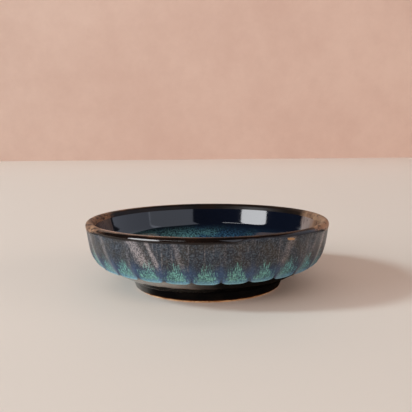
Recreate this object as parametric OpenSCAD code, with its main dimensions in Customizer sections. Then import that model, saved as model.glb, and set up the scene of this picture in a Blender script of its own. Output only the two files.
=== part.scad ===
/* [Rim] */
// Diameter across the rim, over the glaze
rim_d = 100; // [92:1:110]
// Height from the table to the top of the lip
dish_h = 28; // [27:0.5:30]
// Thickness of the rounded lip, over the glaze
lip_t = 3.3; // [3.2:0.1:3.8]
// How far the brown lip glaze reaches down from the top of the lip
lip_band = 2.4; // [2.1:0.1:2.5]

/* [Wall] */
// Lean of the outer wall away from upright, in degrees
wall_lean = 8; // [6:0.5:10]
// Lean of the inner wall away from upright, in degrees
inner_lean = 14; // [12:0.5:16]
// Radius of the clay where the wall turns in to the underside
turn_r = 10.6; // [9.8:0.2:11.4]
// Radius of the clay where the inner wall turns in to the floor
inner_turn_r = 6.5; // [5.5:0.25:7.5]
// Slope of the underside and of the floor's edge, in degrees
under_slope = 29.4; // [27:0.4:30.6]
// Thickness of the clay between the underside and the floor's edge
floor_t = 4.2; // [3.6:0.1:4.6]

/* [Well] */
// Thickness of the clay in the middle of the base
well_t = 4.6; // [4:0.1:5.4]
// Share of the floor's sloping edge that curves into the flat well
well_share = 0.56; // [0.4:0.02:0.7]

/* [Foot] */
// Diameter of the clay foot where it stands on the table
foot_d = 59.2; // [56:0.4:62]
// Diameter of the clay foot where it meets the underside
foot_top_d = 63; // [62.4:0.2:65]
// Height of the foot's outer face
foot_h = 4.3; // [4:0.1:4.8]
// Radius of the cove between the foot and the underside
cove_r = 1.1; // [0.8:0.1:1.4]
// Width of the foot ring at the table
ring_w = 4.1; // [3.4:0.1:5]
// Depth of the recess inside the foot
recess_h = 2.7; // [2.2:0.1:3]
// Lean of the recess wall away from upright, in degrees
recess_lean = 14; // [8:1:20]
// Rounding of the two edges of the bare tread
tread_r = 0.5; // [0.3:0.1:0.7]
// Height of the bare clay left above the table by the foot glazes
bare_h = 0.8; // [0.7:0.1:1.2]

/* [Flutes] */
// Number of flutes round the wall
flutes = 28; // [24:1:28]
// Depth of a flute at its deepest, in the turn of the wall
flute_depth = 0.72; // [0.6:0.03:0.75]
// Radius of the scooped section across a flute
flute_scoop_r = 19.5; // [16:0.5:20]
// Depth of a flute at its upper end
flute_top_depth = 0.37; // [0.3:0.01:0.42]
// Direction of the deepest place, below level, in degrees
flute_aim = 28; // [26:1:30]
// Distance from the brown lip glaze down to the flutes' upper ends
flute_gap = 0.6; // [0.4:0.1:1.2]

/* [Glaze] */
// Thickness of the mottled glaze on the outer wall
coat_t = 0.8; // [0.6:0.05:0.95]
// Thickness of the dark glaze inside the dish
inner_t = 0.5; // [0.4:0.05:0.7]
// Thickness of the brown glaze on the lip
lip_glaze_t = 0.4; // [0.3:0.05:0.5]
// Thickness of the black glaze on the underside and the foot
foot_glaze_t = 0.4; // [0.3:0.05:0.5]
// Radius of one scallop of the hem
scallop_r = 6.4; // [6.2:0.1:6.8]
// Where the middle of a scallop's circle lies on the turn, below level, in degrees
scallop_aim = 19; // [17:1:20]
// Where the hem's points lie on the turn, below level, in degrees
cusp_aim = 41; // [41:0.5:44]

/* [Hidden] */
$fn = 128;

// How far a cutting shape runs past what it cuts
overrun = 2;
// How far a scoop's cutter reaches beyond the flute's depth
scoop_spare = 0.4;
// Share of the room between its neighbours that a cutter takes
scoop_share = 0.985;
// Straight steps in each rounded stretch of an outline
turn_steps = 6;
lip_steps = 12;
edge_steps = 3;

// Two directions for each straight face: along it, and out of the clay
wall_up = [sin(wall_lean), cos(wall_lean)];
wall_out = [cos(wall_lean), -sin(wall_lean)];
inner_up = [sin(inner_lean), cos(inner_lean)];
inner_out = [-cos(inner_lean), sin(inner_lean)];
under_up = [cos(under_slope), sin(under_slope)];
under_out = [sin(under_slope), -cos(under_slope)];

// Point where the line through p along u meets the line through q along v
function meet(p, u, q, v) =
    let (w = q - p)
    p + u * (w[0] * v[1] - w[1] * v[0]) / (u[0] * v[1] - u[1] * v[0]);

// Points of an arc about c, from angle a to angle b
function arc(c, r, a, b, steps) =
    [for (i = [0 : steps]) let (t = a + (b - a) * i / steps) c + r * [cos(t), sin(t)]];

// Rim: the round lip, and the plane where its glaze stops
lip_r = lip_t / 2;
lip_c = [rim_d / 2 - lip_r, dish_h - lip_r];
band_z = dish_h - lip_band;
wall_foot = lip_c + (lip_r - coat_t) * wall_out;
inner_foot = lip_c + (lip_r - inner_t) * inner_out;

// Underside and foot
heel = [foot_top_d / 2, foot_h];
foot_lean = atan((foot_top_d - foot_d) / 2 / foot_h);
foot_up = [sin(foot_lean), cos(foot_lean)];
foot_out = [cos(foot_lean), -sin(foot_lean)];
cove_c = meet(heel + cove_r * foot_out, foot_up, heel + cove_r * under_out, under_up);

// Outer turn of the wall
turn_c = meet(wall_foot - turn_r * wall_out, wall_up, heel - turn_r * under_out, under_up);

// Inside: floor's edge, inner turn and well
floor_edge = heel - floor_t * under_out;
inner_turn_c = meet(inner_foot + inner_turn_r * inner_out, inner_up,
                    floor_edge - inner_turn_r * under_out, under_up);
well_z = recess_h + well_t;
floor_start = inner_turn_c + inner_turn_r * under_out;
floor_end = meet(floor_edge, under_up, [0, well_z], [1, 0]);
well_r = well_share * norm(floor_start - floor_end) / tan(under_slope / 2);
well_c = meet(floor_edge - well_r * under_out, under_up, [0, well_z + well_r], [1, 0]);

// Flutes: the circle that the bottom of a flute follows, through its deepest place in the turn
// and its upper end on the wall
flute_way = [cos(flute_aim), -sin(flute_aim)];
flute_deep_r = turn_r + coat_t - flute_depth;
flute_head = meet(wall_foot + (coat_t - flute_top_depth) * wall_out, wall_up,
                  [0, band_z - flute_gap], [1, 0]) - turn_c;
flute_sweep_r = (norm(flute_head) ^ 2 + flute_deep_r ^ 2 - 2 * flute_deep_r * flute_head * flute_way)
    / (2 * (flute_deep_r - flute_head * flute_way));
flute_c = turn_c - (flute_sweep_r - flute_deep_r) * flute_way;
flute_top = asin((band_z - flute_gap - flute_c[1]) / flute_sweep_r);
flute_end = 47;
flute_low_x = flute_c[0] + (flute_sweep_r - coat_t) * cos(flute_end);
flute_w = 2 * flute_low_x * tan(180 / flutes) * scoop_share;

// Hem: places on the glazed turn of the wall
function on_turn(aim) = turn_c + (turn_r + coat_t) * [cos(aim), -sin(aim)];
scallop_c = on_turn(scallop_aim);
cusp_z = on_turn(cusp_aim)[1];

// Foot and recess: their faces where they meet the joint and where their glaze ends
function foot_face(t, z) = meet(heel + t * foot_out, foot_up, [0, z], [1, 0]);
recess_rim = [foot_d / 2 - ring_w, 0];
recess_up = [-sin(recess_lean), cos(recess_lean)];
recess_out = [-cos(recess_lean), -sin(recess_lean)];
function recess_face(t, z) = meet(recess_rim + t * recess_out, recess_up, [0, z], [1, 0]);
tread_outer_c = meet(heel - tread_r * foot_out, foot_up, [0, tread_r], [1, 0]);
tread_inner_c = meet(recess_rim - tread_r * recess_out, recess_up, [0, tread_r], [1, 0]);

// Outer outline from the foot to the band, t outside the clay
function outer_line(t) = concat(
    arc(cove_c, cove_r - t, 180 - foot_lean, 90 + under_slope, edge_steps),
    arc(turn_c, turn_r + t, under_slope - 90, -wall_lean, turn_steps),
    [meet(wall_foot + t * wall_out, wall_up, [0, band_z], [1, 0])]
);

// Inner outline from the band down to the axis, t inside the clay
function inner_line(t) = concat(
    [meet(inner_foot + t * inner_out, inner_up, [0, band_z], [1, 0])],
    arc(inner_turn_c, inner_turn_r - t, -inner_lean, under_slope - 90, turn_steps),
    arc(well_c, well_r - t, under_slope - 90, -90, turn_steps),
    [[0, well_z + t]]
);

// Lip outline from its outer to its inner side, t outside the clay
function lip_line(t) =
    let (r = lip_r - lip_glaze_t + t, low = asin((lip_c[1] - band_z) / r))
    arc(lip_c, r, -low, 180 + low, lip_steps);

// Outline of a coat between two lines that run the same way
function between(a, b) = concat(a, [for (i = [len(b) - 1 : -1 : 0]) b[i]]);

// The dish as a filled disc, up to the lip's band, t outside the clay
module filled(t) {
    rotate_extrude()
        polygon(concat(
            [[0, bare_h], foot_face(t, bare_h)], outer_line(t), [[0, band_z]]
        ));
}

// One flute's scoop, with its surface and its two ends moved in by grow
module flute_scoop(grow) {
    end_back = atan(grow / flute_sweep_r);
    translate([flute_c[0], 0, flute_c[1]])
        rotate([90, 0, 0])
        rotate([0, 0, end_back - flute_end])
        rotate_extrude(angle = flute_end + flute_top - 2 * end_back)
        intersection() {
            translate([flute_sweep_r + flute_scoop_r, 0])
                circle(r = flute_scoop_r + grow);
            translate([0, -flute_w / 2])
                square([flute_sweep_r + flute_depth + scoop_spare, flute_w]);
        }
}

// Sets a shape in the middle of every flute, the first one in front
module at_flutes() {
    for (i = [0 : flutes - 1])
        rotate([0, 0, i * 360 / flutes - 90])
            children();
}

module fluted(t) {
    difference() {
        filled(t);
        at_flutes() flute_scoop(coat_t - t);
    }
}

// The space below the scalloped hem
module below_hem() {
    difference() {
        cylinder(d = rim_d + 2 * overrun, h = cusp_z);
        at_flutes()
            translate([scallop_c[0], 0, scallop_c[1]])
            sphere(r = scallop_r);
    }
}

module clay_bowl() {
    color("#b5895c")
        difference() {
            rotate_extrude()
                polygon(concat(
                    [[0, recess_h], foot_face(0, recess_h)],
                    outer_line(0), lip_line(0), inner_line(0)
                ));
            at_flutes() flute_scoop(coat_t);
        }
}

module foot_ring() {
    color("#c39360")
        rotate_extrude()
        polygon(concat(
            arc(tread_inner_c, tread_r, 180 + recess_lean, 270, edge_steps),
            arc(tread_outer_c, tread_r, 270, 360 - foot_lean, edge_steps),
            [foot_face(0, recess_h), recess_face(0, recess_h)]
        ));
}

module inner_glaze() {
    color("#16243a")
        rotate_extrude()
        polygon(between(inner_line(0), inner_line(inner_t)));
}

module rim_glaze() {
    color("#4a2a1a")
        rotate_extrude()
        polygon(between(lip_line(0), lip_line(lip_glaze_t)));
}

module outer_glaze() {
    color("#4f7f86")
        difference() {
            fluted(coat_t);
            fluted(0);
            below_hem();
        }
}

module foot_glaze() {
    color("#131313")
        intersection() {
            difference() {
                fluted(foot_glaze_t);
                fluted(0);
            }
            below_hem();
        }
}

module base_glaze() {
    color("#1b1a1a")
        rotate_extrude()
        polygon([
            recess_face(0, bare_h), recess_face(0, recess_h), [0, recess_h],
            [0, recess_h - foot_glaze_t],
            recess_face(foot_glaze_t, recess_h - foot_glaze_t),
            recess_face(foot_glaze_t, bare_h)
        ]);
}

clay_bowl();
foot_ring();
inner_glaze();
rim_glaze();
outer_glaze();
foot_glaze();
base_glaze();
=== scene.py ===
"""A small fluted stoneware soy sauce dish on a pale table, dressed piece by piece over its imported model."""
import math
from types import SimpleNamespace

import bmesh
import bpy
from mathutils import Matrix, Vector


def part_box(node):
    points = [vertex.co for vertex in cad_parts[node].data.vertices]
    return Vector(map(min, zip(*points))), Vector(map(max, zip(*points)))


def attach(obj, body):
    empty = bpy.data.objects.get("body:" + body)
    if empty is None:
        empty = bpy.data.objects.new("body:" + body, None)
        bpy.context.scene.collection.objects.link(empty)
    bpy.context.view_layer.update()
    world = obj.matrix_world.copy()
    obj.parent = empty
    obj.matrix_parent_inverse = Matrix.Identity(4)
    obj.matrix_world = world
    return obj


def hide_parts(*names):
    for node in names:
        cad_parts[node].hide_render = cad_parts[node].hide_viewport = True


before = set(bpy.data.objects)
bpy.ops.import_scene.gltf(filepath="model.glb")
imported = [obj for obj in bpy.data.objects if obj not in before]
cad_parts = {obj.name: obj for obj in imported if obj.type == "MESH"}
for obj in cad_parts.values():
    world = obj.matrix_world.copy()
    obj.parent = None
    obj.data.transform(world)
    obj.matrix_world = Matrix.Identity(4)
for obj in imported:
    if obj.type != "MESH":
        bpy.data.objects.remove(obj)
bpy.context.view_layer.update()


# Camera
# Seen from close by, a little above the lip, with the far rim just showing the inside. The frame
# is square, and the camera leans half a degree, as in the photograph.
viewpoint = (-0.0004, -0.230, 0.0605)
tilt_down, lean = 6.895, -0.52
film_width, focal_length = 36.0, 48.34
lens = bpy.data.cameras.new("camera")
lens.sensor_width, lens.lens = film_width, focal_length
lens.clip_start, lens.clip_end = 0.01, 20.0
camera = bpy.data.objects.new("camera", lens)
bpy.context.collection.objects.link(camera)
camera.location = viewpoint
camera.rotation_mode = "XYZ"
camera.rotation_euler = (math.radians(90 - tilt_down), 0, 0)
camera.rotation_euler.rotate_axis("Z", math.radians(lean))
bpy.context.scene.camera = camera
bpy.context.scene.view_settings.view_transform = "Standard"


# Thrown and trimmed clay
# The body is one thrown bowl with a trimmed foot, in a warm buff stoneware with iron specks. It
# shows only on the tread, where the glaze was wiped off so that the dish wouldn't stick in firing.
buff, iron_buff, iron_speck = (0.86, 0.58, 0.32, 1), (0.46, 0.22, 0.085, 1), (0.05, 0.02, 0.01, 1)


class Wire:
    """One socket's value in a node tree. Sums on it add Math nodes."""

    def __init__(self, bench, socket):
        self.bench, self.socket = bench, socket

    def __add__(self, other):
        return self.bench.reckon("ADD", self, other)

    def __radd__(self, other):
        return self.bench.reckon("ADD", other, self)

    def __sub__(self, other):
        return self.bench.reckon("SUBTRACT", self, other)

    def __rsub__(self, other):
        return self.bench.reckon("SUBTRACT", other, self)

    def __mul__(self, other):
        return self.bench.reckon("MULTIPLY", self, other)

    def __rmul__(self, other):
        return self.bench.reckon("MULTIPLY", other, self)

    def __truediv__(self, other):
        return self.bench.reckon("DIVIDE", self, other)

    def __rtruediv__(self, other):
        return self.bench.reckon("DIVIDE", other, self)

    def __pow__(self, other):
        return self.bench.reckon("POWER", self, other)

    def __abs__(self):
        return self.bench.reckon("ABSOLUTE", self)

    def out(self, name):
        """Another output of the same node."""
        return Wire(self.bench, self.socket.node.outputs[name])

    def at_least(self, low):
        return self.bench.reckon("MAXIMUM", self, low)

    def at_most(self, high):
        return self.bench.reckon("MINIMUM", self, high)

    def eased(self, none, full):
        """0 up to one value, 1 from the other on, and smooth between. Either may be the greater."""
        return self.bench.node("ShaderNodeMapRange", {"interpolation_type": "SMOOTHSTEP"},
                               {0: self, 1: none, 2: full})


class Bench:
    """Adds nodes to one tree."""

    def __init__(self, tree):
        self.tree = tree
        tree.nodes.clear()

    def node(self, kind, settings=None, values=None, out=0):
        """Any node: its type, its settings, then the values or wires of its sockets."""
        made = self.tree.nodes.new(kind)
        for name, value in (settings or {}).items():
            setattr(made, name, value)
        for name, value in (values or {}).items():
            if isinstance(value, Wire):
                self.tree.links.new(value.socket, made.inputs[name])
            else:
                made.inputs[name].default_value = value
        return Wire(self, made.outputs[out] if made.outputs else None)

    def reckon(self, how, *terms):
        """A Math node's result."""
        return self.node("ShaderNodeMath", {"operation": how}, dict(enumerate(terms)))

    def mix(self, share, one, other):
        """A colour between one and the other."""
        return self.node("ShaderNodeMix", {"data_type": "RGBA"}, {0: share, 6: one, 7: other}, out=2)

    def noise(self, where, scale, detail, rough, seed=0.0):
        return self.node("ShaderNodeTexNoise", {"noise_dimensions": "4D"},
                         {"Vector": where, "Scale": scale, "Detail": detail, "Roughness": rough,
                          "W": seed})

    def place(self):
        """The spot on the piece, in metres."""
        return self.node("ShaderNodeTexCoord").out("Object")

    def stored(self, name):
        """A value that the mesh holds at each of its points."""
        return self.node("ShaderNodeAttribute", {"attribute_name": name}).out("Fac")

    def parts(self, vector):
        split = self.node("ShaderNodeSeparateXYZ", None, {0: vector})
        return [split.out(axis) for axis in "XYZ"]

    def vector(self, x, y, z):
        return self.node("ShaderNodeCombineXYZ", None, {0: x, 1: y, 2: z})

    def degrees_round(self, east, north):
        """Degrees round the dish from the front, growing to the right."""
        return self.reckon("ARCTAN2", east, 0 - north) * (180 / math.pi)

    def surface(self, values, height, bump, depth):
        """The one finish of a piece, with a bump from a height."""
        values["Normal"] = self.node("ShaderNodeBump", None,
                                     {"Strength": bump, "Distance": depth, "Height": height})
        skin = self.node("ShaderNodeBsdfPrincipled", None, values)
        self.node("ShaderNodeOutputMaterial", None, {0: skin})


def finish_of(name):
    """A new material, and the bench for its tree."""
    material = bpy.data.materials.new(name)
    material.use_nodes = True
    return material, Bench(material.node_tree)


clay, b = finish_of("bare stoneware")
spot = b.place()
_, _, up = b.parts(spot)
grain = b.noise(spot, 900, 4, 0.6)
warm = b.noise(spot, 190, 3, 0.6, 3.0)
speck = b.noise(spot, 1500, 1, 0.5, 7.0).eased(0.66, 0.72)
tool_marks = b.reckon("SINE", up * 9000 + grain * 2.5)
colour = b.mix(warm.eased(0.35, 0.65), buff, iron_buff)
colour = b.mix(speck, colour, iron_speck)
b.surface({"Base Color": colour, "Roughness": 0.78 + grain * 0.15, "IOR": 1.45},
          grain + tool_marks * 0.15, 0.6, 0.00015)

clay_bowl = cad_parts["clay_bowl"]
clay_bowl.data.materials.clear()
clay_bowl.data.materials.append(clay)


# Foot ring
# The ring was cut from the clay under the bowl with a turning tool, and its edges eased with a
# sponge. Its flat tread is bare, and stands on the table.
mm = 0.001
foot_r, foot_top_r, foot_h = 29.6, 31.5, 4.3
ring_in_r, recess_z, ring_round = 25.5, 2.7, 0.5
recess_lean = math.tan(math.radians(14.0))
# the ring's upper side is hidden in the clay, a little inside the faces that show
shy, top_w, top_drop, back_w, back_rise = 0.02, 0.6, 0.1, 0.2, 0.3


def eased_edge(corner, before, after, radius, steps=6):
    """The points of a rounded corner of an outline."""
    def unit(way):
        length = math.hypot(*way)
        return way[0] / length, way[1] / length

    def off_corner(way, distance):
        return corner[0] + way[0] * distance, corner[1] + way[1] * distance
    back = unit((before[0] - corner[0], before[1] - corner[1]))
    onward = unit((after[0] - corner[0], after[1] - corner[1]))
    half = math.acos(max(-1, min(1, back[0] * onward[0] + back[1] * onward[1]))) / 2
    one, two = (off_corner(way, radius / math.tan(half)) for way in (back, onward))
    centre = off_corner(unit((back[0] + onward[0], back[1] + onward[1])), radius / math.sin(half))
    start = math.atan2(one[1] - centre[1], one[0] - centre[0])
    sweep = math.atan2(two[1] - centre[1], two[0] - centre[0]) - start
    sweep = (sweep + math.pi) % (2 * math.pi) - math.pi
    return [(centre[0] + radius * math.cos(start + sweep * i / steps),
             centre[1] + radius * math.sin(start + sweep * i / steps)) for i in range(steps + 1)]


def laid(name, shape, material):
    """Lays the faces with their fronts out, smooth but for edges that turn more than 50 degrees."""
    if shape.calc_volume(signed=True) < 0:
        bmesh.ops.reverse_faces(shape, faces=shape.faces)
    mesh = bpy.data.meshes.new(name)
    shape.to_mesh(mesh)
    shape.free()
    mesh.shade_smooth()
    mesh.set_sharp_from_angle(angle=math.radians(50))
    piece = bpy.data.objects.new(name, mesh)
    bpy.context.collection.objects.link(piece)
    mesh.materials.append(material)
    return piece


def turned(name, outline, material, around):
    """A piece turned about the dish's axis from a closed outline of (radius, height) in mm.
    An outline that starts and ends on the axis closes there."""
    shape = bmesh.new()
    turns = [2 * math.pi * i / around for i in range(around)]
    rings = []
    for radius, height in outline:
        if radius == 0:
            rings.append([shape.verts.new((0, 0, height * mm))] * around)
        else:
            rings.append([shape.verts.new((radius * mm * math.sin(a), -radius * mm * math.cos(a),
                                           height * mm)) for a in turns])
    for low, high in zip(rings, rings[1:] + rings[:1]):
        for i in range(around):
            j = (i + 1) % around
            corners = list(dict.fromkeys([low[i], low[j], high[j], high[i]]))
            if len(corners) > 2:
                shape.faces.new(corners)
    return laid(name, shape, material)


def dressed(piece, node):
    """Puts the piece on the dish's body in its CAD node's stead."""
    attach(piece, "root")
    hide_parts(node)


outside, inside = (foot_r, 0), (ring_in_r, 0)
recess_top_r = ring_in_r - recess_z * recess_lean
ring_outline = ([(foot_top_r - top_w, foot_h - top_drop), (foot_top_r - shy, foot_h - top_drop)]
                + eased_edge(outside, (foot_top_r, foot_h), inside, ring_round)
                + eased_edge(inside, outside, (recess_top_r, recess_z), ring_round)
                + [(recess_top_r + shy, recess_z), (recess_top_r - back_w, recess_z + back_rise)])
foot_ring = turned("foot_ring_clay", ring_outline, clay, 320)
dressed(foot_ring, "foot_ring")


# Gloss inside
# The bowl was filled with a dark iron and cobalt glaze and poured out. It's near black where it
# ran thin down the wall, and flecked blue and teal where it pooled on the floor.
inner_t, inner_turn_r, inner_turn_c = 0.5, 6.5, (39.098, 20.863)
inner_lean, under_slope, band_z = 14.0, 29.4, 25.6
inner_top = (46.46, band_z)
well_r, well_z, well_edge_r = 34.35, 7.3, 19.26
thin_black, pooled_black = (0.0016, 0.0028, 0.0080, 1), (0.005, 0.019, 0.040, 1)
fleck_blue, fleck_teal = (0.048, 0.145, 0.25, 1), (0.13, 0.33, 0.36, 1)
# brown and pink painted as reflections of the warm wall and table, at both sides below the rim
reflected_brown, reflected_pink = (0.22, 0.108, 0.060, 1), (0.25, 0.18, 0.16, 1)

inner_coat, b = finish_of("dark glaze inside")
spot = b.place()
east, north, up = b.parts(spot)
pool = (0.0185 - up).eased(0.0, 0.009)
drift = b.noise(spot, 60, 3, 0.6, 1.0)
fleck = b.noise(spot, 1700, 3, 0.65, 2.0)
broad_fleck = b.noise(spot, 520, 3, 0.65, 5.0)
amount = (fleck.eased(0.42, 0.62) * 0.95 + broad_fleck.eased(0.45, 0.7) * 0.25) * pool
amount = amount * (1.05 - east * 24)
colour = b.mix(pool * 0.6, thin_black, pooled_black)
colour = b.mix(amount.at_most(1.0), colour,
               b.mix((drift - east * 3).eased(0.42, 0.58), fleck_blue, fleck_teal))
# painted reflection: at both sides below the rim, where the dish was held in the dip, brown and, further
# back, pink stand in for the warm wall and table seen in the gloss, stronger on the right; the glaze is
# rougher there too
round_at = b.degrees_round(abs(east), north)
run = b.noise(b.vector(east, north, up * 0.3), 260, 3, 0.6, 8.0)
reflection_patch = (round_at + (run - 0.5) * 4).eased(112, 110) * round_at.eased(40, 62)
reflection_patch = reflection_patch * up.eased(0.0165, 0.019) * (0.6 + run.eased(0.35, 0.65) * 0.4)
reflection_patch = reflection_patch * (0.40 + east.eased(-0.01, 0.01) * 0.60)
browner = (round_at + (broad_fleck - 0.5) * 12).eased(106, 94)
colour = b.mix(reflection_patch * 0.95, colour, b.mix(browner, reflected_pink, reflected_brown))
wave = b.noise(spot, 55, 2, 0.5, 4.0)
b.surface({"Base Color": colour, "Roughness": 0.05 + broad_fleck * 0.04 + reflection_patch * 0.3, "IOR": 1.6,
           "Specular IOR Level": 0.62}, wave + fleck * 0.02, 0.35, 0.0003)


def between(one, other, steps):
    """Points from one to the other, without the last."""
    return [(one[0] + (other[0] - one[0]) * i / steps, one[1] + (other[1] - one[1]) * i / steps)
            for i in range(steps)]


def bend(centre, radius, start, end, steps):
    """Points on an arc in the (radius, height) plane, with angles in degrees."""
    angles = [math.radians(start + (end - start) * i / steps) for i in range(steps + 1)]
    return [(centre[0] + radius * math.cos(a), centre[1] + radius * math.sin(a)) for a in angles]


def set_back(line, thickness):
    """The line moved into the clay by a thickness. The line runs down the wall and in to the axis."""
    moved = []
    for i, (radius, height) in enumerate(line):
        one, two = line[max(i - 1, 0)], line[min(i + 1, len(line) - 1)]
        length = math.hypot(two[0] - one[0], two[1] - one[1])
        moved.append((radius - (two[1] - one[1]) / length * thickness if radius else 0,
                      height + (two[0] - one[0]) / length * thickness))
    return moved


# the coat's back is a little short of the clay, which is hidden behind it
inner_short = 0.05
inner_turn = bend(inner_turn_c, inner_turn_r - inner_t, -inner_lean, under_slope - 90, 12)
well = bend((well_edge_r, well_z + well_r), well_r - inner_t, under_slope - 90, -90, 10)
middle = (0, well[-1][1])
face = (between(inner_top, inner_turn[0], 10) + inner_turn[:-1] + between(inner_turn[-1], well[0], 8)
        + well[:-1] + between(well[-1], middle, 10) + [middle])
back = set_back(face, inner_t - inner_short)
inner_glaze = turned("inner_gloss", face + back[::-1], inner_coat, 320)
dressed(inner_glaze, "inner_glaze")


# Iron lip
# The lip was dipped in an iron glaze. It's a dark, glassy red-brown, and breaks to orange-brown on
# the crest, where it ran thin over the round edge. On the left the crest's orange is also a painted
# highlight.
rim_r, dish_h, lip_t, wall_lean = 50.0, 28.0, 3.3, 8.0
lip_in, lip_out = ((46.55, 25.95), (46.75, 26.75)), (49.91, band_z)
# the hidden back of the coat: its two ends, and places between them out from the bead's middle
lip_back_out, lip_back_in = (49.5, band_z), (46.9, band_z)
lip_back = ((1.1, 26.2), (0.7, 27.2), (-0.7, 27.2), (-1.2, 26.4))
iron_black, iron_red = (0.0030, 0.0016, 0.0012, 1), (0.009, 0.0038, 0.0022, 1)
# orange-brown for the crest's thin glaze, also a painted highlight on the left; brown for the back edge
crest_orange_and_highlight, back_brown = (0.165, 0.070, 0.028, 1), (0.10, 0.045, 0.018, 1)
worn_brown, worn_tan, stain = (0.145, 0.074, 0.045, 1), (0.29, 0.165, 0.098, 1), (0.026, 0.012, 0.008, 1)
ground_blue, ground_brown = (0.019, 0.028, 0.042, 1), (0.030, 0.028, 0.027, 1)
pale_blue, pale_pink = (0.082, 0.116, 0.148, 1), (0.104, 0.104, 0.114, 1)
pit_black, hole_black = (0.006, 0.006, 0.008, 1), (0.002, 0.002, 0.002, 1)
edge_black, line_black = (0.006, 0.003, 0.002, 1), (0.004, 0.002, 0.0015, 1)
# a pale for the crystals and for the painted highlights, and the tan of a chip
crystal_and_highlight_pale, chip_tan = (0.27, 0.24, 0.245, 1), (0.37, 0.22, 0.10, 1)
# painted highlight and reflection, in runs of pale streak where the wall shines: degrees round, half width in
# degrees, lean in degrees a mm, strength
highlight_runs = ((-28.5, 4.4, 0.65, 0.95), (-22.2, 1.6, 0.5, 1.0), (-11.5, 2.0, 0.3, 0.4),
                (-50, 2.6, 0.4, 0.45), (34, 3.2, -0.5, 0.4), (52, 2.2, -0.6, 0.35),
                (61, 3.0, -0.6, 1.15), (-64, 2.2, 0.5, 0.8))
# the height at which a run stands at its degrees, and the radius that the streaks are laid out on
highlight_run_z, coat_r = 20.5, 49
# the chip and the pinhole: degrees round, height, half width in degrees, half height
chip_at, hole_at, chip_tilt = (35.8, 25.8, 2.2, 0.5), (36.4, 19.4, 0.5, 0.28), 0.12


def iron_glaze(b, spot, ends):
    """The lip's glaze: near-black, and a thin worn brown with dark stains at both ends, where the
    dish was held. It's orange-brown along its crest, most so on the left, where the orange is a painted
    highlight."""
    east, north, up = b.parts(spot)
    fine, broad = b.noise(spot, 900, 3, 0.6, 2.0), b.noise(spot, 120, 3, 0.6, 6.0)
    colour = b.mix(broad.eased(0.3, 0.7), iron_black, iron_red)
    crest = (up * 1000 + (fine - 0.5) * 0.5 + (broad - 0.5) * 1.2).eased(27.6, 28.1)
    # painted highlight: the crest's orange is strongest on the left, standing in for the backdrop caught in
    # the gloss there
    crest = crest * (0.15 + east.eased(-0.012, -0.026) * 0.85)
    colour = b.mix(crest * (0.3 + (broad + fine * 0.4).eased(0.5, 0.8) * 0.7), colour, crest_orange_and_highlight)
    stained = b.noise(b.vector(east, north, up * 2.5), 420, 3, 0.65, 9.0) - east.eased(0.0, -0.01) * 0.045
    brown = b.mix((broad + fine * 0.5).eased(0.6, 0.9), worn_brown, worn_tan)
    brown = b.mix(stained.eased(0.46, 0.36), brown, stain)
    return b.mix(ends, colour, brown)


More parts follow.
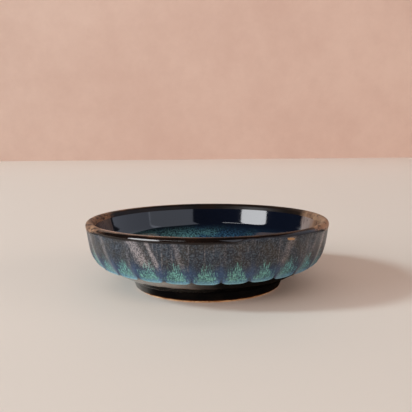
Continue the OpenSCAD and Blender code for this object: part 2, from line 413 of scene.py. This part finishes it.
def mottled_ground(b, spot, drop):
    """The wall's ground: blue-grey and iron brown in runs, with specks, and with faint pale crystals in
    leaning streaks where the glaze is thin. Its listed runs of pale streak are painted highlights and
    reflections. Gives its colour and noises, how far a spot lies over the edge where the lip's glaze
    ends, how near it is to that edge, and to the dish's held ends."""
    east, north, up = b.parts(spot)
    high = up * 1000
    round_at = b.degrees_round(east, north)
    level = b.node("ShaderNodeVectorMath", {"operation": "MULTIPLY"}, {0: spot, 1: (1, 1, 0)})
    facing = b.parts(b.node("ShaderNodeVectorMath", {"operation": "NORMALIZE"}, {0: level}))
    over_east, over_north = facing[0] * coat_r, facing[1] * coat_r
    running = b.vector(over_east, over_north, drop * 0.16)
    streak, thin_streak = b.noise(running, 1.5, 3, 0.6, 1.0), b.noise(running, 3.0, 2, 0.6, 2.0)
    long_streak = b.noise(b.vector(over_east, over_north, drop * 0.05), 0.9, 3, 0.6, 3.0)
    dust, patch = b.noise(spot, 1800, 2, 0.7, 5.0), b.noise(spot, 150, 3, 0.6, 4.0)
    colour = b.mix(patch.eased(0.40, 0.62), ground_blue, ground_brown)
    pale = thin_streak.eased(0.50, 0.72) * 0.3 + dust.eased(0.50, 0.64) * 0.85
    colour = b.mix(pale * 0.8, colour, b.mix(streak.eased(0.4, 0.6), pale_blue, pale_pink))
    dark = streak.eased(0.50, 0.34) * 0.4 + dust.eased(0.48, 0.36) * 0.75
    colour = b.mix(dark.at_most(1.0), colour, pit_black)
    # faint pale crystals at random, with the listed runs of painted highlight and reflection laid over them
    crystals_and_highlights = long_streak.eased(0.52, 0.68) * 0.25
    for at, width, slope, strength in highlight_runs:
        off = abs(round_at - at + (high - highlight_run_z) * slope)
        crystals_and_highlights = crystals_and_highlights.at_least(off.eased(width, width * 0.15) * strength)
    crystals_and_highlights = crystals_and_highlights * high.eased(14.0, 18.5) * high.eased(27.9, 26.6)
    crystals_and_highlights = crystals_and_highlights * (dust.eased(0.40, 0.60) * 0.8 + thin_streak.eased(0.34, 0.62) * 0.4)
    colour = b.mix(crystals_and_highlights.at_most(1.0), colour, crystal_and_highlight_pale)
    # a tan chip under the lip and a pinhole below it
    at, z, half_w, half_h = chip_at
    chip = ((round_at - at) / half_w) ** 2 + ((high - z + (round_at - at) * chip_tilt) / half_h) ** 2
    colour = b.mix((chip + (dust - 0.5) * 3).eased(1.2, 0.7) * 0.85, colour, chip_tan)
    at, z, half_w, half_h = hole_at
    pinhole = ((round_at - at) / half_w) ** 2 + ((high - z) / half_h) ** 2
    colour = b.mix(pinhole.eased(1.2, 0.6), colour, hole_black)
    # the lip's glaze ends on the lip's outer side: lower at the ends, and on the crest to the right
    # of the front
    wander = b.noise(spot, 120, 3, 0.6, 6.0) - 0.5
    unsure = round_at + wander * 10
    aside = abs(unsure)
    edge = 26.15 + unsure.eased(8, 18) * (1.4 - (unsure - 18).at_most(60) * 0.026)
    edge = edge - aside.eased(54, 72) * 1.1
    over = high + wander * 0.7 + (dust - 0.5) * 0.5 - edge
    ends = (aside + wander * 14).eased(46, 60) * (aside + wander * 10).eased(116, 108)
    line = abs(over + 0.05).eased(0.42, 0.18)
    colour = b.mix(line * 0.9, colour, edge_black)
    return SimpleNamespace(colour=colour, streak=streak, thin_streak=thin_streak, long_streak=long_streak,
                           dust=dust, patch=patch, over=over, line=line, ends=ends)


lip_coat, b = finish_of("iron glaze on the lip")
spot = b.place()
east, north, up = b.parts(spot)
ground = mottled_ground(b, spot, 25.72 - up * 1000)
fine, broad = b.noise(spot, 900, 3, 0.6, 2.0), b.noise(spot, 120, 3, 0.6, 6.0)
radius = (east ** 2 + north ** 2) ** 0.5
outer_side = radius.eased(0.0480, 0.0486)
behind = north.eased(0.012, 0.022)
mottled = ground.over.eased(0.12, -0.12) * outer_side
colour = iron_glaze(b, spot, ground.ends)
# at the back the outer edge breaks to brown
colour = b.mix(behind * radius.eased(0.0487, 0.0493) * broad.eased(0.35, 0.6), colour, back_brown)
colour = b.mix(ground.line * outer_side * 0.9, colour, line_black)
colour = b.mix(mottled, colour, ground.colour)
# it's glassy along the front, and less so on the crest and to the right
dry = up.eased(0.02765, 0.0279) * east.eased(-0.02, 0.005)
glassy = (1 - mottled) * (1 - ground.ends) * (1 - behind) * up.eased(0.0262, 0.0269)
glassy = glassy * (1 - dry * 0.85) * (1 - east.eased(0.010, 0.024) * 0.75)
rough = 0.07 + fine * 0.06 + mottled * 0.35 + (ground.ends + dry).at_most(1.0) * 0.4 + behind * 0.3
b.surface({"Base Color": colour, "Roughness": rough, "IOR": 1.5, "Specular IOR Level": 0.25,
           "Coat Weight": glassy * (0.85 + broad.eased(0.38, 0.55) * 0.15), "Coat IOR": 1.6,
           "Coat Roughness": 0.05}, broad + fine * 0.05 + mottled * ground.dust * 0.2, 0.4, 0.0003)

lip_r = lip_t / 2
lip_c = (rim_r - lip_r, dish_h - lip_r)
lip_outline = ([inner_top] + between(*lip_in, 3) + bend(lip_c, lip_r, 180 - inner_lean, -wall_lean, 28)
               + [lip_out, lip_back_out] + [(lip_c[0] + out, z) for out, z in lip_back] + [lip_back_in])
rim_glaze = turned("lip_gloss", lip_outline, lip_coat, 320)
dressed(rim_glaze, "rim_glaze")


# Fluted coat
# The wall was scooped all round with a loop tool while the clay was firm, and dipped in a thick
# reactive glaze. It runs into the scoops in the fire, breaks teal and blue, and stops in a scallop.
flutes, scoop_r, sweep_r, flute_c, flute_top = 28, 19.5, 20.74, (28.712, 24.628), 25.2
turn_r, turn_c, turn_top, cove_r = 10.6, (37.598, 19.903), (48.095, 18.428), 1.1
coat_t, hem_roll, hem_waver, hem_low_z, hem_high_z = 0.8, 0.55, 0.45, 11.25, 12.75
under_lip, coats_end = 0.12, (foot_r + 0.25, 0.55)
# each colour on the left and in front, and at the right, where it is bluer and painted darker as shade on the
# side away from the light
valley_blues = (0.034, 0.078, 0.170, 1), (0.018, 0.052, 0.110, 1)
burst_teals = (0.066, 0.195, 0.180, 1), (0.034, 0.130, 0.160, 1)
bright_teals = (0.20, 0.48, 0.42, 1), (0.13, 0.37, 0.39, 1)
night_speck, edge_blue, edge_aqua = (0.012, 0.020, 0.036, 1), (0.11, 0.23, 0.43, 1), (0.26, 0.54, 0.60, 1)
# the plum of the cusps, and a near black painted as shade under the hem's roll
cusp_plum, roll_underside_shade = (0.016, 0.014, 0.026, 1), (0.016, 0.017, 0.018, 1)


def clay_line():
    """The clay's outer outline, from under the lip to the foot's edge."""
    top_z = band_z + under_lip
    top = (turn_top[0] + (top_z - turn_top[1]) * math.tan(math.radians(wall_lean)), top_z)
    turn = bend(turn_c, turn_r, -wall_lean, under_slope - 90, 24)
    cove = eased_edge((foot_top_r, foot_h), turn[-1], outside, cove_r, 8)
    return between(top, turn_top, 16) + turn[:-1] + between(turn[-1], cove[0], 18) + cove + [coats_end]


def line_object(name, points):
    """A curve through points of (radius, height), lying in the x, z plane in metres."""
    curve = bpy.data.curves.new(name, "CURVE")
    curve.dimensions = "3D"
    run = curve.splines.new("POLY")
    run.points.add(len(points) - 1)
    for point, (radius, height) in zip(run.points, points):
        point.co = (radius * mm, 0, height * mm, 1)
    made = bpy.data.objects.new(name, curve)
    bpy.context.collection.objects.link(made)
    return made


def length_to(points, height):
    """How far along the outline it first comes down to a height."""
    run = 0
    for one, two in zip(points, points[1:]):
        step = math.hypot(two[0] - one[0], two[1] - one[1])
        if two[1] <= height:
            return run + step * (one[1] - height) / (one[1] - two[1])
        run += step
    return run


def coat_tree(name):
    """A coat of glaze over the fluted clay: rows run down its face, round its lower edge and back
    up along the clay. Every row follows the outline of the object that the tree is used on."""
    tree = bpy.data.node_groups.new(name, "GeometryNodeTree")
    tree.interface.new_socket("Geometry", in_out="INPUT", socket_type="NodeSocketGeometry")
    for label, kind in (("Flutes", "Int"), ("Steps a Flute", "Int"), ("Rows", "Int"),
                        ("Thickness", "Float"), ("Scoop Bend", "Float"), ("Sweep Radius", "Float"),
                        ("Flute Top", "Float"), ("Start", "Float"), ("End at Flute", "Float"),
                        ("End at Land", "Float"), ("Edge Roll", "Float"), ("Edge Waver", "Float"),
                        ("Seed", "Float"), ("Material", "Material")):
        tree.interface.new_socket(label, in_out="INPUT", socket_type="NodeSocket" + kind)
    tree.interface.new_socket("Geometry", in_out="OUTPUT", socket_type="NodeSocketGeometry")
    b = Bench(tree)
    given = b.node("NodeGroupInput")
    grid = b.node("GeometryNodeMeshGrid", None, {
        "Size X": 1.0, "Size Y": 1.0, "Vertices X": given.out("Flutes") * given.out("Steps a Flute") + 1,
        "Vertices Y": given.out("Rows")})
    kept = b.node("GeometryNodeCaptureAttribute", None, {0: grid})
    kept.socket.node.capture_items.new("VECTOR", "uv")
    tree.links.new(grid.out("UV Map").socket, kept.socket.node.inputs["uv"])
    across, down, _ = b.parts(kept.out("uv"))
    angle = across * (2 * math.pi)
    # the scoops aren't quite evenly spaced, as they were cut by eye
    shift = b.reckon("COSINE", angle + math.radians(60)) * math.radians(1.5)
    place_in = (angle - shift + math.radians(1.4)) * given.out("Flutes") / (2 * math.pi)
    local = place_in - b.reckon("ROUND", place_in)
    sideways = abs(local) * 2
    east, south = b.reckon("SINE", angle), b.reckon("COSINE", angle)
    ring_spot = b.vector(east, south, given.out("Seed"))
    unsteady = b.noise(ring_spot, 9.0, 2, 0.6, 1.0) - 0.5
    jitter = b.noise(ring_spot, 34.0, 2, 0.6, 2.0) - 0.5
    # how far down the coat ends here: a round scallop under each flute, a cusp between them
    scallop = (1 - sideways ** 2).at_least(0.0) ** 0.6
    end = given.out("End at Land") + (given.out("End at Flute") - given.out("End at Land")) * scallop
    end = end + (unsteady * 1.4 + jitter * 0.5) * given.out("Edge Waver")
    # the first row lies on the clay, and closes on the last
    face_share, roll_share = 0.55, 0.1
    back_share = 1 - face_share - roll_share
    one_row = 1 / (given.out("Rows") - 1)
    face = ((down - one_row).at_least(0.0) / (face_share - one_row)).at_most(1.0)
    roll = ((down - face_share) / roll_share).at_least(0.0).at_most(1.0)
    back = ((down - (face_share + roll_share)) / back_share).at_least(0.0).at_most(1.0)
    # rows are closer together near the lower edge
    spread = 1 - (1 - face) ** 1.25
    on_roll = roll * (math.pi / 2)
    run = given.out("Start") + (end - given.out("Start")) * spread
    run = run + given.out("Edge Roll") * b.reckon("SINE", on_roll)
    run = run + (given.out("Start") - end - given.out("Edge Roll")) * back
    lift = given.out("Thickness") * b.reckon("COSINE", on_roll) * (down / one_row).at_most(1.0)
    # a bead of glaze stands a little proud along the edge
    bead_share, bead_far, bead_near = 0.22, 0.0016, 0.0014
    near_edge = (run - end + bead_far).eased(0.0, bead_near)
    lift = lift * (1 + near_edge * bead_share * (1 - roll))
    sample = b.node("GeometryNodeSampleCurve", {"mode": "LENGTH"},
                    {"Curves": given.out("Geometry"), "Length": run})
    clay_r, _, clay_z = b.parts(sample.out("Position"))
    # the way out of the clay, square to its outline
    way_r, _, way_z = b.parts(sample.out("Tangent"))
    out_r, out_z = 0 - way_z, way_r
    face_r, face_z = clay_r + out_r * given.out("Thickness"), clay_z + out_z * given.out("Thickness")
    off_r, off_z = face_r - flute_c[0] * mm, face_z - flute_c[1] * mm
    # the tool sinks in over this length at a scoop's upper end, and leaves it at the lower one
    tool_in, tool_out_z, tool_out = 0.0016, -0.0175, 0.0012
    deep = (off_r ** 2 + off_z ** 2) ** 0.5 - given.out("Sweep Radius")
    deep = deep * (given.out("Flute Top") - face_z).eased(0.0, tool_in)
    deep = deep * (off_z - tool_out_z).eased(-tool_out, tool_in)
    half_turn = local * (2 * math.pi) / given.out("Flutes")
    side = face_r * b.reckon("SINE", half_turn)
    cut = deep * (1 + jitter * 0.25 + unsteady * 0.35) - side ** 2 * given.out("Scoop Bend")
    # the glaze softens the lands between the scoops
    soft = 0.00016
    cut = (cut + (cut ** 2 + soft * soft) ** 0.5) / 2
    radius, height = clay_r + out_r * (lift - cut), clay_z + out_z * (lift - cut)
    spot = b.vector(radius * east, radius * (0 - south), height)
    shaped = b.node("GeometryNodeSetPosition", None, {"Geometry": kept.out("Geometry"), "Position": spot})
    for label, value in (("hem", (end - run) * 1000), ("rib", sideways), ("drop", run * 1000)):
        shaped = b.node("GeometryNodeStoreNamedAttribute", {"data_type": "FLOAT", "domain": "POINT"},
                        {"Geometry": shaped, "Name": label, "Value": value})
    joined = b.node("GeometryNodeMergeByDistance", None, {"Geometry": shaped, "Distance": 0.000001})
    smooth = b.node("GeometryNodeSetShadeSmooth", None, {"Geometry": joined})
    real = b.node("GeometryNodeRealizeInstances", None, {"Geometry": smooth})
    painted = b.node("GeometryNodeSetMaterial", None, {"Geometry": real, "Material": given.out("Material")})
    b.node("NodeGroupOutput", None, {"Geometry": painted})
    return tree


def coated(name, outline, material, settings):
    """The plain mesh that the coat's tree makes on an outline."""
    carrier = line_object(name, outline)
    modifier = carrier.modifiers.new("coat", "NODES")
    modifier.node_group = coat
    wanted = dict(settings, Material=material)
    for item in coat.interface.items_tree:
        if item.in_out == "INPUT" and item.name in wanted:
            modifier[item.identifier] = wanted[item.name]
    graph = bpy.context.evaluated_depsgraph_get()
    mesh = bpy.data.meshes.new_from_object(carrier.evaluated_get(graph), depsgraph=graph)
    bpy.data.objects.remove(carrier)
    shape = bmesh.new()
    shape.from_mesh(mesh)
    bpy.data.meshes.remove(mesh)
    return laid(name, shape, material)


outer_coat, b = finish_of("reactive glaze on the wall")
spot = b.place()
east, north, _ = b.parts(spot)
hem, rib, drop = b.stored("hem"), b.stored("rib"), b.stored("drop")
ground = mottled_ground(b, spot, drop)
colour, dust, streak, thin_streak = ground.colour, ground.dust, ground.streak, ground.thin_streak
# teal bursts climb each flute in ragged runs, with blue between them
burst_h = (0.65 + b.noise(b.vector(east, north, 0.0), 45, 1, 0.5, 9.0) * 0.7) * 9.0
climb = 1 - hem / burst_h
inward = 1 - (rib / 0.74) ** 2
ragged = (thin_streak - 0.5) * 2.0 + (streak - 0.5) * 0.9 + (dust - 0.5) * 0.5
burst = (inward * 0.55 + climb * 0.95 - 0.60 + ragged).eased(-0.05, 0.6) * hem.eased(11, 8)
blue = (hem + (ground.long_streak - 0.5) * 5 + (dust - 0.5) * 5).eased(8.5, 2.5)
bright = burst * (thin_streak.eased(0.46, 0.66) * 0.7 + dust.eased(0.48, 0.62) * 0.5)
# painted shade: the coat's colours are darker towards the right
right_side_shade = east.eased(0.012, 0.036)
colour = b.mix(blue * 0.75, colour, b.mix(right_side_shade, *valley_blues))
colour = b.mix(burst * 0.9, colour, b.mix(right_side_shade, *burst_teals))
colour = b.mix(bright.at_most(1.0), colour, b.mix(right_side_shade, *bright_teals))
speck = dust.eased(0.49, 0.38) * hem.eased(10.0, 4.0)
colour = b.mix(speck * 0.65, colour, night_speck)
# the hem is edged in blue and aqua, with a dark cusp between two scallops
rim_blue = (hem + (thin_streak - 0.5) * 4 + (dust - 0.5) * 2).eased(2.6, 0.4) * (1 - rib.eased(0.80, 0.99))
colour = b.mix(rim_blue * (0.2 + dust.eased(0.40, 0.60) * 0.6), colour, edge_blue)
aqua = (hem + (thin_streak - 0.5) * 2.6 + (dust - 0.5) * 2.2).eased(0.8, 0.05) * (1 - rib.eased(0.66, 0.90))
# painted shade: the aqua edge is fainter towards the right
aqua = aqua * (1 - east.eased(0.010, 0.034) * 0.6)
colour = b.mix(aqua * 0.8, colour, edge_aqua)
cusp = (rib + (streak - 0.5) * 0.9).eased(0.74, 1.0) * (hem + (dust - 0.5) * 3).eased(2.4, 0.4)
colour = b.mix(cusp * 0.65, colour, cusp_plum)
# painted shade: the underside of the hem's roll, turned away from the light, is near black
colour = b.mix((hem + (thin_streak - 0.5) * 0.5).eased(-0.02, -0.25), colour, roll_underside_shade)
# the lip's glaze comes down over the top of the wall at the front and at both ends
top = ground.over.eased(-0.12, 0.12)
colour = b.mix(top, colour, iron_glaze(b, spot, ground.ends))
sheen = 0.24 + ground.patch * 0.10 + thin_streak * 0.12 - top * (1 - ground.ends) * 0.22
b.surface({"Base Color": colour, "Roughness": sheen, "IOR": 1.5, "Specular IOR Level": 0.32},
          streak * 0.5 + thin_streak * 0.25 + dust * 0.12, 0.45, 0.0002)

coat = coat_tree("coat over the flutes")
outline = clay_line()
scoop_bend = (1 / scoop_r + 1 / rim_r) / 2 / mm
hem_low, hem_high = length_to(outline, hem_low_z), length_to(outline, hem_high_z)
outer_glaze = coated("fluted_coat", outline, outer_coat, {
    "Flutes": flutes, "Steps a Flute": 18, "Rows": 121, "Thickness": coat_t * mm,
    "Scoop Bend": scoop_bend, "Sweep Radius": sweep_r * mm, "Flute Top": flute_top * mm, "Start": 0.0,
    "End at Flute": hem_low * mm, "End at Land": hem_high * mm, "Edge Roll": hem_roll * mm,
    "Edge Waver": hem_waver * mm, "Seed": 3.0})
dressed(outer_glaze, "outer_glaze")


# Black on the underside and foot
# The underside and the foot wear a thin, glassy black. It goes in under the hem, follows the last
# of the scoops, fills the corner over the foot and stops in a wavering line above the tread.
foot_coat_t, tucked_in, bare_h, foot_roll, foot_waver = 0.4, 2.2, 0.9, 0.12, 0.3
foot_black, foot_brown_black = (0.0020, 0.0020, 0.0024, 1), (0.005, 0.004, 0.0035, 1)
# rust for the glaze's lower edge, and a grey painted as the table's reflection
rust_edge, reflected_table_grey = (0.10, 0.035, 0.012, 1), (0.26, 0.232, 0.20, 1)

foot_coat, b = finish_of("black glaze under the dish")
spot = b.place()
east, north, up = b.parts(spot)
fine, broad = b.noise(spot, 1000, 3, 0.6, 1.0), b.noise(spot, 140, 3, 0.6, 2.0)
edge = (b.stored("hem") + (fine - 0.5) * 0.5).eased(0.55, 0.1)
colour = b.mix(broad.eased(0.4, 0.65), foot_black, foot_brown_black)
colour = b.mix(edge * 0.7, colour, rust_edge)
round_at = b.degrees_round(east, north)
# the black lay thin along the front and right, and is dull there, on the foot more than above it
dull = (round_at + (broad - 0.5) * 16 - up.eased(0.0034, 0.0052) * 46).eased(-62, -38)
glassy = (1 - dull * round_at.eased(100, 80) * 0.95) * 0.85
# painted reflection: to the left the black is greyed, most on the underside above the foot, standing in for
# the lit table seen in its gloss
under = up.eased(0.0068, 0.0090) * (round_at + (fine - 0.5) * 14).eased(-2, -20)
table_reflection_share = (1 - dull) * round_at.eased(-150, -110) * (1 - edge) * (0.12 + under * (0.5 + broad * 0.7))
colour = b.mix(table_reflection_share.at_most(1.0), colour, reflected_table_grey)
b.surface({"Base Color": colour, "Roughness": 0.08 + fine * 0.06, "IOR": 1.5, "Specular IOR Level": 0.0,
           "Coat Weight": glassy, "Coat IOR": 1.65, "Coat Roughness": 0.04},
          broad + fine * 0.04, 0.4, 0.0003)

foot_end = length_to(outline, bare_h)
foot_glaze = coated("foot_gloss", outline, foot_coat, {
    "Flutes": flutes, "Steps a Flute": 16, "Rows": 101, "Thickness": foot_coat_t * mm,
    "Scoop Bend": scoop_bend, "Sweep Radius": (sweep_r - coat_t + foot_coat_t) * mm,
    "Flute Top": flute_top * mm, "Start": (hem_high - tucked_in) * mm,
    "End at Flute": foot_end * mm, "End at Land": foot_end * mm, "Edge Roll": foot_roll * mm,
    "Edge Waver": foot_waver * mm, "Seed": 8.0})
dressed(foot_glaze, "foot_glaze")


# Black in the recess
# The hollow inside the foot ring has the same thin, glassy black. It was poured in and wiped back
# from the tread, which leaves its edge rust brown.
recess_coat_t, recess_round = 0.4, 1.2
wiped_w, wiped_h = 0.2, 0.1
recess_black, recess_brown_black = (0.0035, 0.0035, 0.004, 1), (0.011, 0.008, 0.007, 1)

recess_coat, b = finish_of("black glaze in the recess")
spot = b.place()
_, _, up = b.parts(spot)
fine, broad = b.noise(spot, 1000, 3, 0.6, 1.0), b.noise(spot, 110, 3, 0.6, 2.0)
edge = (up + (fine - 0.5) * 0.0005 + (broad - 0.5) * 0.0008).eased(0.0018, 0.0010)
colour = b.mix(broad.eased(0.4, 0.65), recess_black, recess_brown_black)
colour = b.mix(edge * 0.7, colour, rust_edge)
b.surface({"Base Color": colour, "Roughness": 0.07 + fine * 0.06, "IOR": 1.6,
           "Specular IOR Level": 0.6}, broad + fine * 0.04, 0.4, 0.0004)

base_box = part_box("base_glaze")
base_r, base_low, base_top = base_box[1][0] / mm, base_box[0][2] / mm, base_box[1][2] / mm
base_top_r = base_r - (base_top - base_low) * recess_lean
ceiling, coat_r_low = base_top - recess_coat_t, base_r - recess_coat_t
corner = (coat_r_low - (ceiling - base_low) * recess_lean, ceiling)
recess_outline = ([(0, ceiling)]
                  + eased_edge(corner, (0, ceiling), (coat_r_low, base_low), recess_round, 8)
                  + [(coat_r_low, base_low + wiped_h), (base_r - wiped_w, base_low), (base_r, base_low),
                     (base_top_r, base_top), (0, base_top)])
base_glaze = turned("recess_gloss", recess_outline, recess_coat, 256)
dressed(base_glaze, "base_glaze")


# Table and backdrop
# A pale matt table top, painted lighter to the back as a stand-in for more light there, runs to a
# plain warm wall. The wall ends sooner on the right, so that it doesn't show pink behind a card in
# the gloss inside the dish.
table_side, table_front, wall_y = 3.6, -0.9, 1.44
wall_left, wall_right, wall_low, wall_high = -2.0, 1.3, -0.3, 2.2
table_near, table_far_lit = (0.71, 0.635, 0.58, 1), (0.84, 0.745, 0.68, 1)
paint_dark, paint_light = (0.545, 0.375, 0.312, 1), (0.612, 0.443, 0.372, 1)


def matt(bench, colour, rough, shine):
    """A flat finish with no bump."""
    skin = bench.node("ShaderNodeBsdfPrincipled", None, {
        "Base Color": colour, "Roughness": rough, "IOR": 1.4, "Specular IOR Level": shine})
    bench.node("ShaderNodeOutputMaterial", None, {0: skin})


def sheet_of(name, corners, material):
    """One flat face of the set, through its corners."""
    shape = bmesh.new()
    shape.faces.new([shape.verts.new(corner) for corner in corners])
    piece = laid(name, shape, material)


table_top, b = finish_of("pale table")
_, north, _ = b.parts(b.place())
# painted light: the table is lighter towards the back
matt(b, b.mix(north.eased(-0.1, 1.3), table_near, table_far_lit), 0.6, 0.1)
sheet_of("table", [(-table_side, table_front, 0), (table_side, table_front, 0),
                   (table_side, wall_y, 0), (-table_side, wall_y, 0)], table_top)
wall_paint, b = finish_of("warm wall")
spot = b.place()
cloudy = b.noise(spot, 2.6, 3, 0.6) * 0.6 + b.noise(spot, 22, 4, 0.7, 3.0) * 0.4
matt(b, b.mix(cloudy.eased(0.3, 0.7), paint_dark, paint_light), 0.95, 0.5)
sheet_of("backdrop", [(wall_left, wall_y, wall_low), (wall_right, wall_y, wall_low),
                      (wall_right, wall_y, wall_high), (wall_left, wall_y, wall_high)], wall_paint)


# Light
# A round light far on the left throws the one soft shadow. In the gloss show a softbox on the left,
# a thin strip nearer the camera and two dim pale cards on the right. Warm fills come from the front,
# the right and above, and a wash lights the wall.
def lamp(name, shape, size, power, colour, direction, distance, target=(0, 0, 0.015), in_gloss=True,
         lights=True):
    """An area light seen from the dish in a direction: degrees round from the camera's side to
    the right, and degrees up. One that isn't in the gloss gives light and no highlight, and a
    card shows in the gloss and gives no light."""
    light = bpy.data.lights.new(name, "AREA")
    light.shape, light.size = shape, size[0]
    light.size_y = size[-1]
    light.energy, light.color = power, colour
    made = bpy.data.objects.new(name, light)
    bpy.context.collection.objects.link(made)
    round_, up = (math.radians(angle) for angle in direction)
    way = (math.sin(round_) * math.cos(up), -math.cos(round_) * math.cos(up), math.sin(up))
    made.location = [t + w * distance for t, w in zip(target, way)]
    made.rotation_mode = "QUATERNION"
    made.rotation_quaternion = Vector(way).to_track_quat("Z", "Y")
    made.visible_glossy, made.visible_diffuse = in_gloss, lights


lamp("key", "DISK", (0.75,), 110, (0.73, 0.94, 1.0), (-76, 31), 4.0, in_gloss=False)
lamp("softbox", "ELLIPSE", (0.55, 0.5), 5, (0.97, 0.98, 1.0), (-58, 16), 1.0)
lamp("card near", "RECTANGLE", (0.97, 0.9), 2.25, (0.82, 0.87, 1.0), (45, 25), 1.0, lights=False)
lamp("card far", "RECTANGLE", (1.04, 0.9), 2.08, (0.79, 0.84, 1.0), (99.5, 22), 1.0, lights=False)
lamp("strip", "RECTANGLE", (0.5, 0.035), 0.4, (0.97, 0.98, 1.0), (-36, 30), 1.0)
lamp("fill", "RECTANGLE", (5.0, 3.0), 95, (1.0, 0.77, 0.65), (0, 30), 4.0, in_gloss=False)
lamp("fill right", "RECTANGLE", (3.0, 2.0), 52, (1.0, 0.82, 0.72), (66, 16), 4.0, in_gloss=False)
lamp("ceiling", "RECTANGLE", (4.0, 4.0), 5, (1.0, 0.82, 0.70), (0, 84), 3.0, in_gloss=False)
lamp("wall wash", "RECTANGLE", (2.4, 0.6), 4.7, (1.0, 0.98, 0.97), (0, 40), 1.5,
     target=(0.5, wall_y, 0.27), in_gloss=False)
room = bpy.data.worlds.new("dark room")
bpy.context.scene.world = room
room.use_nodes = True
room_light = room.node_tree.nodes["Background"].inputs
room_light["Color"].default_value, room_light["Strength"].default_value = (0.9, 0.95, 1.0, 1), 0.03
